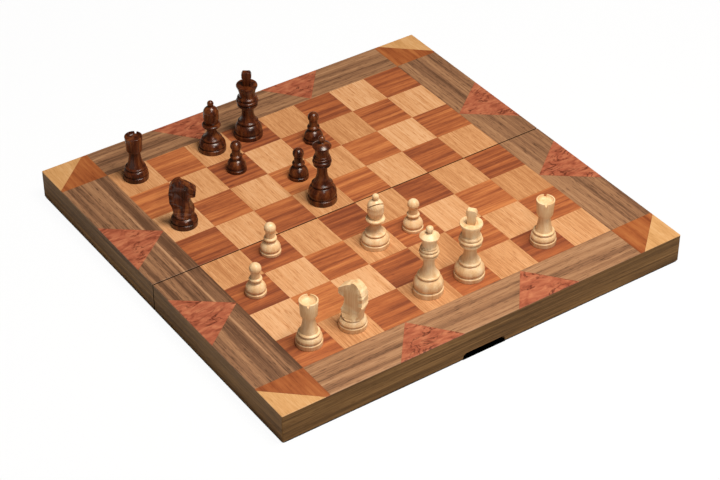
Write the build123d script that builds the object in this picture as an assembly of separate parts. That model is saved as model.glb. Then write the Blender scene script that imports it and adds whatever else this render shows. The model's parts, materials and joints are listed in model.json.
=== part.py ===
"""Folding wooden chess case, opened flat, with seventeen chessmen standing on it.

Two shallow trays lie rim down, side by side, and hinge along the middle of the board.
Their closed faces carry the veneered playing surface, and folded together they make a box.

Millimetres. X runs along the seam, +Y away from the player of the light men, +Z up.
The origin is on the table, under the middle of the board.
"""

from build123d import *
import os
from math import sqrt

# ---------------------------------------------------------------- board
squares_across = 8
square = 40.0
side_border = 45.5
end_border = 39.5
seam_gap = 1.2
case_height = 27.0
edge_round = 0.4
corner_round = 1.0

# ---------------------------------------------------------------- joinery of one tray
wall = 8.0
spine = 8.0
panel_thickness = 4.0
panel_ledge = 4.0
lining_thickness = 1.0

# ---------------------------------------------------------------- veneers
veneer = 0.6
glue_line = 0.06
side_burl_base = 71.0
end_burl_base = 64.0
burl_centre_in_squares = 1.5
corner_tip_x = 41.0
corner_tip_y = 37.0

# ---------------------------------------------------------------- finger notch, near tray only
notch_width = 44.0
notch_height = 5.0
notch_round = 4.5
notch_from_middle = -7.0

# ---------------------------------------------------------------- hinges
hinge_from_middle = 120.0
hinge_length = 30.0
leaf_thickness = 0.8
leaf_width = 7.0
knuckle_radius = 1.25
knuckle_gap = 0.3
pin_radius = 0.6
pin_clearance = 0.05
turning_clearance = 0.1

# ---------------------------------------------------------------- screws, magnets, feet
screw_head_radius = 1.6
screw_shank_radius = 0.8
screw_length = 6.5
screw_spacing = 18.0
screw_clearance = 0.03
magnet_radius = 3.0
magnet_thickness = 3.0
magnet_from_middle = 95.0
foot_thickness = 1.25
foot_radius = 3.2
near_foot_from_side = 14.0
far_foot_from_side = 26.0

# ---------------------------------------------------------------- chessmen
king_base = 26.5
king_height = 69.0
king_finial_width = 9.0
king_finial_thickness = 5.0
king_finial_height = 14.5
king_dish = 0.8
queen_base = 26.2
queen_height = 68.0
bishop_base = 25.4
bishop_height = 52.4
bishop_slit = 0.9
bishop_slit_slope = 50
bishop_slit_depth = 13.6
knight_base = 24.0
knight_height = 47.2
knight_seat = 10.7
knight_cheek = 5.2
knight_muzzle = 4.4
knight_neck_radius = 9.3
knight_ear_gap = 2.8
knight_ear_gap_depth = 2.6
rook_base = 22.8
rook_height = 44.8
rook_dish_depth = 2.8
rook_slot_depth = 2.6
rook_slot_mouth = 2.6
rook_slot_floor = 1.2
pawn_base = 18.4
pawn_height = 30.8
plinth_round = 0.5
plinth_shoulder = 0.9
foot_groove = 0.5
bun_fullness = 0.10
baize_margin = 2.0
baize_recess = 0.5
tenon_radius = 1.9
tenon_length = 4.0
knight_tenon_radius = 3.0
tenon_clearance = 0.05

# ---------------------------------------------------------------- places worked out
NEAR, FAR = -1, 1
HALVES = {"near": NEAR, "far": FAR}

squares_half = squares_across / 2 * square
half_width = squares_half + side_border
half_depth = squares_half + end_border
seam_face = seam_gap / 2
rim = foot_thickness
top = rim + case_height
bed = top - veneer
panel_underside = bed - panel_thickness
inner_end = half_depth - wall
inner_side = half_width - wall
inner_spine = seam_face + spine
burl_centre = burl_centre_in_squares * square
hinge_places = {"left_hinge": -hinge_from_middle, "right_hinge": hinge_from_middle}
screw_offsets = (-screw_spacing / 2, screw_spacing / 2)
screw_row = (knuckle_radius + leaf_width) / 2
plate_start = knuckle_radius + turning_clearance


# ---------------------------------------------------------------- shared shapes
def slab(x_span, y_span, z_span, side=FAR):
    """Box between limits. y is counted from the seam outwards, towards the given side."""
    (x0, x1), (y0, y1), (z0, z1) = x_span, y_span, z_span
    centre = ((x0 + x1) / 2, side * (y0 + y1) / 2, (z0 + z1) / 2)
    return Pos(*centre) * Box(x1 - x0, y1 - y0, z1 - z0)


def plan(corners, side):
    """Flat outline from corners, with y counted from the seam outwards."""
    return make_face(Polyline(*[(x, side * y) for x, y in corners], close=True))


def prism(corners, z_span, side=FAR):
    """Upright solid over a plan outline."""
    bottom, upper = z_span
    return Pos(0, 0, bottom) * extrude(plan(corners, side), upper - bottom, dir=(0, 0, 1))


def upright(x, y, z_span, radius):
    """Upright cylinder between two heights."""
    bottom, upper = z_span
    middle = Pos(x, y, (bottom + upper) / 2)
    return middle * Cylinder(radius, upper - bottom)


def rounded_case(side):
    """Outer block of one half, with its outer corners and its upper edges rounded."""
    block = slab((-half_width, half_width), (seam_face, half_depth), (rim, top), side)
    uprights = block.edges().filter_by(Axis.Z).sort_by(Axis.Y, reverse=side == FAR)
    block = fillet(uprights[:2], corner_round)
    return fillet(block.faces().sort_by(Axis.Z)[-1].edges(), edge_round)


def inlay(corners, side, shape):
    """One piece of veneer, half a glue line inside its outline."""
    outline = offset(plan(corners, side), -glue_line / 2, kind=Kind.INTERSECTION)
    return (Pos(0, 0, bed) * extrude(outline, veneer, dir=(0, 0, 1))) & shape


# ---------------------------------------------------------------- trays
def panel_seat(side):
    """Space of the plywood panel, let into a rebate in all four walls."""
    edge = inner_side + panel_ledge
    y_span = (inner_spine - panel_ledge, inner_end + panel_ledge)
    return slab((-edge, edge), y_span, (panel_underside, bed), side)


def finger_notch():
    """Slot with rounded upper corners, cut through the near end wall at its rim."""
    block = Box(notch_width, 3 * wall, 2 * notch_height)
    block = fillet(block.edges().filter_by(Axis.Y), notch_round)
    return Pos(notch_from_middle, NEAR * (half_depth - wall / 2), rim) * block


def magnet(side, x):
    return upright(x, side * (half_depth - wall / 2), (rim, rim + magnet_thickness), magnet_radius)


def end_wall(side, shape):
    corners = [(-half_width, half_depth), (half_width, half_depth)]
    corners += [(inner_side, inner_end), (-inner_side, inner_end)]
    body = prism(corners, (rim, bed), side) - panel_seat(side)
    for x in (-magnet_from_middle, magnet_from_middle):
        body -= magnet(side, x)
    if side == NEAR:
        body -= finger_notch()
    return body & shape


def side_wall(side, hand, shape):
    """Left (hand -1) or right (hand 1) wall of a tray, mitred at both ends."""
    corners = [(hand * half_width, seam_face), (hand * half_width, half_depth)]
    corners += [(hand * inner_side, inner_end), (hand * inner_side, inner_spine)]
    return (prism(corners, (rim, bed), side) - panel_seat(side)) & shape


def spine_wall(side):
    """Wall along the seam, with mortises for the hinge leaves and room for their knuckles."""
    corners = [(-half_width, seam_face), (half_width, seam_face)]
    corners += [(inner_side, inner_spine), (-inner_side, inner_spine)]
    body = prism(corners, (rim, bed), side) - panel_seat(side)
    reach = hinge_length / 2
    for x in hinge_places.values():
        body -= slab((x - reach, x + reach), (0, leaf_width), (rim, rim + leaf_thickness), side)
        room = Cylinder(knuckle_radius + turning_clearance, hinge_length, rotation=(0, 90, 0))
        body -= Pos(x, 0, rim) * room
        for offset_x in screw_offsets:
            body -= screw(side, x + offset_x, screw_clearance)
    return body


def lining(side):
    y_span = (inner_spine, inner_end)
    z_span = (panel_underside - lining_thickness, panel_underside)
    return slab((-inner_side, inner_side), y_span, z_span, side)


def foot(side, x):
    return upright(x, side * (half_depth - wall / 2), (0, foot_thickness), foot_radius)


# ---------------------------------------------------------------- veneers
def is_dark(file, rank):
    """Files count from 0 on the left, ranks from 1 in front. The front left square is dark."""
    return (file + rank) % 2 == 1


def chequers(side, dark, shape):
    """All the squares of one colour on one half."""
    ranks = squares_across // 2
    pieces = []
    for row in range(ranks):
        rank = ranks + 1 + row if side == FAR else ranks - row
        y0, y1 = max(row * square, seam_face), (row + 1) * square
        for file in range(squares_across):
            if is_dark(file, rank) == dark:
                x0 = file * square - squares_half
                x1 = x0 + square
                corners = [(x0, y0), (x1, y0), (x1, y1), (x0, y1)]
                pieces.append(inlay(corners, side, shape))
    return pieces


def side_burl(hand):
    """Triangle of burl with its base on the left or right edge."""
    edge = hand * half_width
    half = side_burl_base / 2
    return [(edge, burl_centre - half), (edge, burl_centre + half), (hand * squares_half, burl_centre)]


def end_burl(hand):
    """Triangle of burl with its base on the front or back edge."""
    middle = hand * burl_centre
    half = end_burl_base / 2
    return [(middle - half, half_depth), (middle + half, half_depth), (middle, squares_half)]


def border_outlines():
    """Plain veneer of the border: what lies between the triangles and the corner blocks."""
    outlines = []
    for hand in (-1, 1):
        inner, outer = hand * squares_half, hand * half_width
        low, high, apex = side_burl(hand)
        outlines.append([(inner, seam_face), apex, low, (outer, seam_face)])
        outlines.append([apex, (inner, squares_half), (outer, squares_half), high])
        left, right, point = end_burl(hand)
        far_corner = right if hand == 1 else left
        outlines.append([point, (inner, squares_half), (inner, half_depth), far_corner])
    left, right = end_burl(-1), end_burl(1)
    outlines.append([left[2], right[2], right[0], left[1]])
    return outlines


def corner_tip(hand):
    """Pale triangle at an outer corner."""
    edge = hand * half_width
    return [(edge - hand * corner_tip_x, half_depth), (edge, half_depth), (edge, half_depth - corner_tip_y)]


def corner_block(hand):
    """Brown block behind the pale corner triangle."""
    first, _, last = corner_tip(hand)
    inner = hand * squares_half
    return [(inner, squares_half), (hand * half_width, squares_half), last, first, (inner, half_depth)]


# ---------------------------------------------------------------- hinges and screws
def knuckle(span, radius):
    length = span[1] - span[0]
    return Pos((span[0] + span[1]) / 2, 0, rim) * Cylinder(radius, length, rotation=(0, 90, 0))


def hinge_leaf(side, x):
    """Leaf let into the rim. The far leaf has the middle knuckle and the near one the outer two."""
    start, third = x - hinge_length / 2, hinge_length / 3
    joints = [start, start + third, start + 2 * third, start + hinge_length]
    slot = knuckle_gap / 2
    if side == FAR:
        spans = [(joints[1] + slot, joints[2] - slot)]
    else:
        spans = [(joints[0], joints[1] - slot), (joints[2] + slot, joints[3])]
    z_span = (rim, rim + leaf_thickness)
    leaf = slab((start, start + hinge_length), (plate_start, leaf_width), z_span, side)
    for span in spans:
        leaf += slab(span, (0, plate_start), z_span, side) + knuckle(span, knuckle_radius)
    leaf -= knuckle((start, start + hinge_length), pin_radius + pin_clearance)
    for offset_x in screw_offsets:
        leaf -= screw(side, x + offset_x, screw_clearance)
    return leaf


def screw(side, x, clearance=0.0):
    """Countersunk screw driven up into the spine wall, with its head flush in the leaf."""
    head, shank = screw_head_radius + clearance, screw_shank_radius + clearance
    tip = rim + screw_length + clearance
    outline = [(head, rim), (shank, rim + leaf_thickness), (shank, tip - shank), (0, tip)]
    return Pos(x, side * screw_row, 0) * turned(outline)


# ---------------------------------------------------------------- turning and carving
def track(outline, start):
    """Edges through the outline's points. A third number on a point makes the edge to it
    an arc that stands out by that much, or in where it is negative."""
    edges = []
    here = start
    for across, height, *bulge in outline:
        there = (across, height)
        edges.append(SagittaArc(here, there, -bulge[0]) if bulge else Line(here, there))
        here = there
    return edges


def turned(outline):
    """Solid turned about Z from its outline, from the foot up to a last point on the axis."""
    base = (0, outline[0][1])
    edges = track(outline, base)
    if outline[-1][1] != base[1]:
        edges.append(Line(outline[-1][:2], base))
    return revolve(Plane.XZ * make_face(edges), Axis.Z)


def turned_foot(base, plinth, neck, top_height):
    """Outline of the foot that all the men share: baize recess, plinth, groove and bun."""
    radius = base / 2
    groove_radius = radius - plinth_shoulder - foot_groove
    bun_start = plinth + foot_groove
    bun_height = top_height - bun_start
    return [
        (radius - baize_margin, baize_recess),
        (radius - baize_margin, 0),
        (radius - plinth_round, 0),
        (radius, plinth_round, 0.15),
        (radius, plinth - plinth_shoulder),
        (radius - plinth_shoulder, plinth, 0.3),
        (groove_radius, bun_start),
        (radius - 0.4, bun_start + 0.28 * bun_height, 0.3),
        (neck, top_height, bun_fullness * bun_height),
    ]


def bead(radius, bottom, height):
    """Outline of a half-round ring."""
    bulge = 0.45 * height
    return [(radius - bulge, bottom), (radius - bulge, bottom + height, bulge)]


def ball(radius, neck, height):
    """Outline of a ball on a neck, up to its pole."""
    centre = height - radius
    neck_height = centre - sqrt(radius**2 - neck**2)
    half_chord = sqrt(neck**2 + (height - neck_height) ** 2) / 2
    return [(neck, neck_height), (0, height, radius - sqrt(radius**2 - half_chord**2))]


def socket(radius, height, depth):
    """Outline of a blind hole for a tenon, from its mouth to the axis."""
    return [(radius, height), (radius, height - depth), (0, height - depth)]


def king():
    """King without its finial: four collars, a waist and a flared crown with a dished top."""
    floor = king_height - king_finial_height
    crown = floor + king_dish
    outline = turned_foot(king_base, 4.3, 9.0, 14.2)
    outline += bead(9.6, 14.4, 2.6)
    outline += [(8.0, 17.4), (7.6, 18.2), (5.6, 24.6, -0.4), (5.6, crown - 26.4), (6.8, crown - 22.9, -0.2)]
    outline += bead(9.6, crown - 22.7, 3.6)
    outline += [(8.4, crown - 18.7)]
    outline += bead(10.3, crown - 18.5, 3.0)
    outline += [(8.8, crown - 15.1)]
    outline += bead(9.3, crown - 14.9, 2.4)
    outline += [(7.8, crown - 12.1), (7.3, crown - 10.4, -0.2), (9.6, crown - 1.8, -0.5)]
    outline += [(9.9, crown - 0.8, 0.1), (9.6, crown)]
    outline += [(5.8, crown), (5.0, floor)]
    outline += socket(tenon_radius + tenon_clearance, floor, tenon_length)
    return turned(outline)


def king_finial():
    """Small block like a cross with full arms, on a round tenon in the crown."""
    floor = king_height - king_finial_height
    tip, arm, softening = king_finial_height, king_finial_width / 2, 0.5
    right = [(3.6, 0), (3.6, tip - 7.0), (arm, tip - 6.2), (arm, tip - 2.2), (3.4, tip)]
    left = [(-across, height) for across, height in reversed(right)]
    face = Plane.XZ * make_face(Polyline(*right, *left, close=True))
    block = extrude(face, king_finial_thickness / 2, both=True)
    block = fillet(block.edges().filter_by(Axis.Y), softening)
    return Pos(0, 0, floor) * block + upright(0, 0, (floor - tenon_length, floor), tenon_radius)


def queen():
    """Queen: five collars, a slender waist and a coronet with a ball."""
    coronet = queen_height - 10.2
    outline = turned_foot(queen_base, 5.1, 9.0, 16.6)
    outline += bead(9.7, 16.8, 2.4)
    outline += [(8.2, 19.5), (4.6, coronet - 27.4, -0.8), (4.9, coronet - 20.6, -0.1)]
    outline += bead(7.8, coronet - 20.4, 2.6)
    outline += [(7.0, coronet - 17.6)]
    outline += bead(8.6, coronet - 17.4, 3.2)
    outline += [(7.0, coronet - 14.0)]
    outline += bead(7.9, coronet - 13.8, 2.4)
    outline += [(6.4, coronet - 11.2)]
    outline += bead(7.0, coronet - 11.0, 1.4)
    outline += [(6.1, coronet - 9.4), (6.1, coronet - 7.0), (7.8, coronet - 0.9, -0.5)]
    outline += [(8.5, coronet - 0.3), (8.4, coronet + 0.4), (2.4, queen_height - 7.0, 0.5)]
    outline += [(1.8, queen_height - 6.4)]
    outline += ball(3.2, 1.8, queen_height)
    return turned(outline)


def bishop():
    """Bishop: a narrow neck, a double collar and an onion head with a slanting slit."""
    head = bishop_height - 23.6
    outline = turned_foot(bishop_base, 4.4, 8.8, 11.2)
    outline += bead(9.4, 11.4, 2.2)
    outline += [(8.1, 13.9), (4.1, head - 7.2, -0.8), (4.3, head - 5.8, -0.1)]
    outline += bead(6.2, head - 5.6, 1.6)
    outline += [(5.8, head - 3.8)]
    outline += bead(8.6, head - 3.6, 3.0)
    outline += [(5.4, head - 0.4), (5.4, head), (7.0, head + 9.0, 0.8), (2.0, bishop_height - 5.8, 1.9)]
    outline += [(1.5, bishop_height - 5.4)]
    outline += ball(3.0, 1.5, bishop_height)
    slit = Box(2 * bishop_base, bishop_base, bishop_slit)
    slit = Rot(-bishop_slit_slope, 0, 0) * Pos(0, -bishop_base / 2, 0) * slit
    return turned(outline) - Pos(0, 0, bishop_height - bishop_slit_depth) * slit


def rook():
    """Rook: a tapered tower with a shoulder ring and a dished top with one slot across it."""
    rim_radius = 8.1
    outline = turned_foot(rook_base, 4.6, 8.6, 10.8)
    outline += bead(9.4, 11.0, 2.1)
    outline += [(7.6, 13.4), (5.2, rook_height - 19.0, -0.4), (5.4, rook_height - 15.4, -0.1)]
    outline += [(6.9, rook_height - 15.0), (7.2, rook_height - 14.2), (rim_radius, rook_height - 0.4, -0.2)]
    outline += [(rim_radius - 0.4, rook_height, 0.1), (rim_radius - 1.2, rook_height)]
    outline += [(rim_radius - 3.0, rook_height - rook_dish_depth, -0.4), (0, rook_height - rook_dish_depth)]
    mouth, floor = rook_slot_mouth / 2, rook_slot_floor / 2
    corners = [(-mouth, 1), (-mouth, 0), (-floor, -rook_slot_depth), (floor, -rook_slot_depth)]
    corners += [(mouth, 0), (mouth, 1)]
    slot = extrude(Plane.YZ * make_face(Polyline(*corners, close=True)), rook_base, both=True)
    return turned(outline) - Pos(0, 0, rook_height) * slot


def pawn():
    """Pawn: a round foot, one collar and a ball."""
    outline = turned_foot(pawn_base, 3.1, 4.4, 12.2)
    outline += [(4.1, pawn_height - 17.4, -0.1)]
    outline += bead(5.8, pawn_height - 17.0, 2.6)
    outline += [(4.1, pawn_height - 14.0)]
    outline += ball(5.2, 3.9, pawn_height)
    return turned(outline)


def knight_foot():
    """Turned foot with a socket for the carved head."""
    outline = turned_foot(knight_base, 4.5, 8.8, 9.8)
    outline += [(8.6, knight_seat)]
    outline += socket(knight_tenon_radius + tenon_clearance, knight_seat, tenon_length)
    return turned(outline)


def knight_side():
    """Side view of the horse's head and neck, looking along +X."""
    seat, ear = knight_seat, knight_height
    outline = [(8.8, seat), (10.2, seat + 4.6, 0.5), (5.2, ear - 20.2, -0.9), (5.6, ear - 16.4, -0.2)]
    outline += [(10.3, ear - 15.9), (11.3, ear - 14.8, 0.2), (11.3, ear - 10.2, 0.2)]
    outline += [(8.0, ear - 7.4, 0.3), (1.8, ear - 3.2, 0.3), (0.0, ear - 2.4), (-2.0, ear, -0.2)]
    outline += [(-6.6, ear - 1.6, 0.4), (-11.8, ear - 13.0, 1.4), (-8.8, seat, 0.9)]
    return Plane.XZ * make_face(track(outline, (-8.8, seat)))


def knight_front():
    """Front view: a flared neck, full cheeks and narrower ears."""
    seat, ear = knight_seat, knight_height
    right = [(knight_neck_radius, seat), (knight_cheek, seat + 10.0, -1.4), (knight_cheek, ear - 9.0)]
    right += [(0.75 * knight_cheek, ear)]
    left = [(-knight_cheek, ear - 9.0), (-knight_cheek, seat + 10.0), (-knight_neck_radius, seat, -1.4)]
    outline = right + [(-0.75 * knight_cheek, ear)] + left
    return Plane.YZ * make_face(track(outline, (-knight_neck_radius, seat)))


def knight_plan():
    """Top view of the head above its throat: full cheeks and a narrower muzzle and mane."""
    back, nose = 13.0, 12.0
    corners = [(-back, knight_muzzle), (-7.0, knight_cheek), (4.0, knight_cheek), (nose, knight_muzzle)]
    corners += [(x, -y) for x, y in reversed(corners)]
    return make_face(Polyline(*corners, close=True))


def knight_ear_cut():
    """V-shaped groove between the two ears."""
    half, back, front = knight_ear_gap / 2, -5.0, 1.5
    corners = [(-half, 1), (-half, 0), (0, -knight_ear_gap_depth), (half, 0), (half, 1)]
    face = Plane.YZ * make_face(Polyline(*corners, close=True))
    return Pos(back, 0, knight_height) * extrude(face, front - back, dir=(1, 0, 0))


def knight_head():
    """Horse's head and neck sawn from three sides, with a tenon in the foot."""
    seat, throat = knight_seat, knight_height - 21.0
    side = extrude(knight_side(), knight_base, both=True)
    front = extrude(knight_front(), knight_base, both=True)
    upper = Pos(0, 0, throat) * extrude(knight_plan(), knight_height, dir=(0, 0, 1))
    flare = [(knight_neck_radius, seat), (knight_base / 2 + 1.0, throat, -1.0), (0, throat)]
    head = (side & front & (turned(flare) + upper)) - knight_ear_cut()
    return head + upright(0, 0, (seat - tenon_length, seat), knight_tenon_radius)


# ---------------------------------------------------------------- the men on the board
def stand(pieces, place, shift=(0, 0), turn=0):
    """Stands a man on a square, such as "d8". The shift is how far off the centre it stands."""
    x = (ord(place[0]) - ord("a") + 0.5) * square - squares_half + shift[0]
    y = (int(place[1]) - 0.5) * square - squares_half + shift[1]
    return {name: Pos(x, y, top) * Rot(0, 0, turn) * solid for name, solid in pieces.items()}


def dark_men():
    men = {}
    men |= stand({"dark_king": king(), "dark_king_finial": king_finial()}, "d8", (-0.8, 2.8), -35)
    men |= stand({"dark_queen": queen()}, "d5", (-0.8, 0.0))
    men |= stand({"dark_bishop": bishop()}, "c8", (0.0, 2.4), 90)
    knight = {"dark_knight_foot": knight_foot(), "dark_knight_head": knight_head()}
    men |= stand(knight, "a6", (0.4, -1.2), -35)
    men |= stand({"dark_rook": rook()}, "a8", (0.4, 3.0), 46)
    men |= stand({"dark_pawn_c7": pawn()}, "c7", (0.9, 1.9))
    men |= stand({"dark_pawn_d6": pawn()}, "d6", (0.8, 0.8))
    men |= stand({"dark_pawn_e7": pawn()}, "e7", (3.6, 1.2))
    return men


def light_men():
    men = {}
    men |= stand({"light_king": king(), "light_king_finial": king_finial()}, "e1", (1.2, 0.0), -50)
    men |= stand({"light_queen": queen()}, "d1", (0.0, 2.4))
    men |= stand({"light_bishop": bishop()}, "d3", (1.2, 1.2), -14)
    knight = {"light_knight_foot": knight_foot(), "light_knight_head": knight_head()}
    men |= stand(knight, "b1", (3.0, 1.2), 112)
    men |= stand({"light_rook_a1": rook()}, "a1", (1.2, 2.8), 55)
    men |= stand({"light_rook_g1": rook()}, "g1", (1.6, 1.2), 55)
    men |= stand({"light_pawn_a3": pawn()}, "a3", (0.4, 2.2))
    men |= stand({"light_pawn_b4": pawn()}, "b4", (0.4, 2.0))
    men |= stand({"light_pawn_e3": pawn()}, "e3", (0.4, 0.4))
    return men


# ---------------------------------------------------------------- all the pieces
def tray(name, side):
    """Every wooden piece, lining, magnet, foot and screw of one half."""
    shape = rounded_case(side)
    feet_from_side = near_foot_from_side if side == NEAR else far_foot_from_side
    foot_x = half_width - feet_from_side
    hands = (-1, 1)
    burls = [outline(hand) for outline in (side_burl, end_burl) for hand in hands]
    screws = [screw(side, x + dx) for x in hinge_places.values() for dx in screw_offsets]
    pieces = {
        "end_wall": end_wall(side, shape),
        "left_wall": side_wall(side, -1, shape),
        "right_wall": side_wall(side, 1, shape),
        "spine_wall": spine_wall(side),
        "panel": panel_seat(side),
        "lining": lining(side),
        "light_squares": chequers(side, False, shape),
        "dark_squares": chequers(side, True, shape),
        "border": [inlay(corners, side, shape) for corners in border_outlines()],
        "burl_triangles": [inlay(corners, side, shape) for corners in burls],
        "corner_tips": [inlay(corner_tip(hand), side, shape) for hand in hands],
        "corner_blocks": [inlay(corner_block(hand), side, shape) for hand in hands],
        "magnets": [magnet(side, hand * magnet_from_middle) for hand in hands],
        "feet": [foot(side, hand * foot_x) for hand in hands],
        "hinge_screws": screws,
    }
    return {f"{name}_{piece}": solids for piece, solids in pieces.items()}


def hinges():
    pieces = {}
    for name, x in hinge_places.items():
        pieces[f"{name}_near_leaf"] = hinge_leaf(NEAR, x)
        pieces[f"{name}_far_leaf"] = hinge_leaf(FAR, x)
        pieces[f"{name}_pin"] = knuckle((x - hinge_length / 2, x + hinge_length / 2), pin_radius)
    return pieces


def write(name, pieces):
    """Writes one node, a single solid or a group of separate ones."""
    group = pieces if isinstance(pieces, list) else [pieces]
    solids = [solid for piece in group for solid in piece.solids()]
    export_step(solids[0] if len(solids) == 1 else Compound(children=solids), f"parts/{name}.step")


def main():
    nodes = {}
    for name, side in HALVES.items():
        nodes |= tray(name, side)
    nodes |= hinges() | dark_men() | light_men()
    os.makedirs("parts", exist_ok=True)
    for name, pieces in nodes.items():
        write(name, pieces)


main()
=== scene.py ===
"""Looks of the folding chess case and its men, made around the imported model.

The case lies open: two walnut trays, rim down, under a board of veneers, and turned men
on its squares. Sizes are in millimetres and are turned to metres where a mesh is made.
"""

import json
import math

import bmesh
import bpy
from mathutils import Matrix, Vector


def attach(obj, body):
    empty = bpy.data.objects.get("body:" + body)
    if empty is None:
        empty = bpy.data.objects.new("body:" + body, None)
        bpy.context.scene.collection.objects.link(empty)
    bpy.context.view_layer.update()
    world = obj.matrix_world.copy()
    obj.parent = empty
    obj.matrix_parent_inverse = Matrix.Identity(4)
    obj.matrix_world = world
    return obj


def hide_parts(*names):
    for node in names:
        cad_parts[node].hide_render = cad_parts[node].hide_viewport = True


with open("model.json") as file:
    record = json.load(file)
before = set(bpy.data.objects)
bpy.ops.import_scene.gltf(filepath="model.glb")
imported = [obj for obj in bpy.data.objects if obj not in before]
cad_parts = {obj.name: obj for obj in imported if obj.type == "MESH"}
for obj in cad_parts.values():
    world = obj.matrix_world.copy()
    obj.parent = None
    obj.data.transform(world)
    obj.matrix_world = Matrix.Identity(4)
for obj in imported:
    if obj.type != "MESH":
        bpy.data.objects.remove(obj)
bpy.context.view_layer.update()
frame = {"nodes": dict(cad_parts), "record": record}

MM = 0.001

# Board, as the frame has it
SQUARE = 40.0
SQUARES_HALF = 4 * SQUARE
HALF_DEPTH = 199.5
CASE_HEIGHT = 27.0
RIM = 1.25
TOP = RIM + CASE_HEIGHT
NOTCH_FROM_MIDDLE, NOTCH_WIDTH, NOTCH_DEPTH = -7.0, 44.0, 20.0

# Men
KING_BASE, KING_HEIGHT, KING_DISH = 26.5, 69.0, 0.8
FINIAL_WIDTH, FINIAL_THICKNESS, FINIAL_HEIGHT = 9.0, 5.0, 14.5
QUEEN_BASE, QUEEN_HEIGHT = 26.2, 68.0
BISHOP_BASE, BISHOP_HEIGHT = 25.4, 52.4
SLIT_WIDTH, SLIT_SLOPE, SLIT_REACH = 0.9, 50, 13.6
KNIGHT_BASE, KNIGHT_HEIGHT, KNIGHT_SEAT = 24.0, 47.2, 10.7
CHEEK, MUZZLE, NECK_RADIUS = 5.2, 4.4, 9.3
EAR_GAP, EAR_GAP_DEPTH, THROAT_BELOW_EARS = 2.8, 2.6, 21.0
ROOK_BASE, ROOK_HEIGHT, DISH_DEPTH = 22.8, 44.8, 2.8
SLOT_DEPTH, SLOT_MOUTH, SLOT_FLOOR = 2.6, 2.6, 1.2
PAWN_BASE, PAWN_HEIGHT = 18.4, 30.8
PLINTH_ROUND, PLINTH_SHOULDER, FOOT_GROOVE, BUN_FULLNESS = 0.5, 0.9, 0.5, 0.10
BAIZE_MARGIN, BAIZE_RECESS = 2.0, 0.5
BAIZE_SIDE_GAP, BAIZE_FACE_GAP = 0.1, 0.02
MANE_GROOVES = 5
EASED_EDGE = 0.6
TURNING_SEGMENTS = 96
ARC_STEP = math.radians(7)

# Hinge screws
SCREW_HEAD, SCREW_SHANK, SCREW_LENGTH = 1.6, 0.8, 6.5
SCREW_ROW, SCREW_SPACING, LEAF_THICKNESS = 4.125, 18.0, 0.8
HINGE_FROM_MIDDLE = 120.0
SCREW_SLOT_WIDTH, SCREW_SLOT_DEPTH = 0.5, 0.4

# Camera of the photograph: turned left of the seam's normal, looking down
CAMERA_AZIMUTH = math.radians(-34.599)
CAMERA_ELEVATION = math.radians(37.396)
CAMERA_DISTANCE = 1789.96
CAMERA_TARGET = (-27.2, -47.72, TOP)
FOCAL_PIXELS = 2074.7
PHOTO_WIDTH = 720
SENSOR_WIDTH = 36.0


# ------------------------------------------------------------------ materials
def linear(hex_colour):
    """Linear colour of an sRGB hex value such as #8A6650."""
    parts = [int(hex_colour[i:i + 2], 16) / 255 for i in (1, 3, 5)]
    return tuple(c / 12.92 if c <= 0.04045 else ((c + 0.055) / 1.055) ** 2.4 for c in parts) + (1.0,)


def node(tree, kind, inputs=None, stops=None, **settings):
    """Adds a node. Inputs are values or other nodes' sockets; stops are a ramp's places and colours."""
    made = tree.nodes.new(kind)
    for name, value in settings.items():
        setattr(made, name, value)
    for place, colour in stops or []:
        stop = made.color_ramp.elements.new(place)
        stop.color = linear(colour)
    if stops:
        for spare in (0, -1):
            made.color_ramp.elements.remove(made.color_ramp.elements[spare])
    for key, value in (inputs or {}).items():
        if isinstance(value, bpy.types.NodeSocket):
            tree.links.new(value, made.inputs[key])
        else:
            made.inputs[key].default_value = value
    return made


def blank(name, roughness):
    """A material with its tree and its shader."""
    made = bpy.data.materials.new(name)
    made.use_nodes = True
    shader = made.node_tree.nodes["Principled BSDF"]
    shader.inputs["Roughness"].default_value = roughness
    return made, made.node_tree, shader


GRAIN_SCALES = {"X": (0, 1, 1), "Y": (1, 0, 1), "Z": (1, 1, 0)}
GRAIN_DEPTH = 0.2


def stretched(tree, place, grain, width, length):
    """Coordinates in which a streak of the grain is one unit wide and one unit long."""
    scale = [1 / (width * MM) if across else 1 / (length * MM) for across in GRAIN_SCALES[grain]]
    return node(tree, "ShaderNodeMapping", {"Vector": place, "Scale": scale}).outputs[0]


def grain_noise(tree, place, grain, width, length, **more):
    """Noise in streaks along the grain. Grain "border" runs along the nearest edge of the board."""
    if grain == "border":
        apart = node(tree, "ShaderNodeSeparateXYZ", {"Vector": object_place(tree)})
        across = node(tree, "ShaderNodeMath", {0: apart.outputs[0]}, operation="ABSOLUTE")
        beside = node(tree, "ShaderNodeMath", {
            0: across.outputs[0], 1: SQUARES_HALF * MM}, operation="GREATER_THAN")
        ends = stretched(tree, place, "X", width, length)
        sides = stretched(tree, place, "Y", width, length)
        mixed = node(tree, "ShaderNodeMixRGB", {0: beside.outputs[0], 1: ends, 2: sides})
        vector = mixed.outputs[0]
    else:
        vector = stretched(tree, place, grain, width, length)
    settings = {"Scale": 1.0, "Detail": 3.0, "Roughness": 0.55, "Vector": vector} | more
    return node(tree, "ShaderNodeTexNoise", settings).outputs["Fac"]


def object_place(tree):
    """Place of a point of the piece, in metres."""
    return node(tree, "ShaderNodeTexCoord").outputs["Object"]


def within(tree, coordinate, middle, half_width):
    """1 within a band about a middle, 0 beside it. Both measures are in mm."""
    band = {0: coordinate, 1: middle * MM, 2: half_width * MM}
    return node(tree, "ShaderNodeMath", band, operation="COMPARE").outputs[0]


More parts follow.
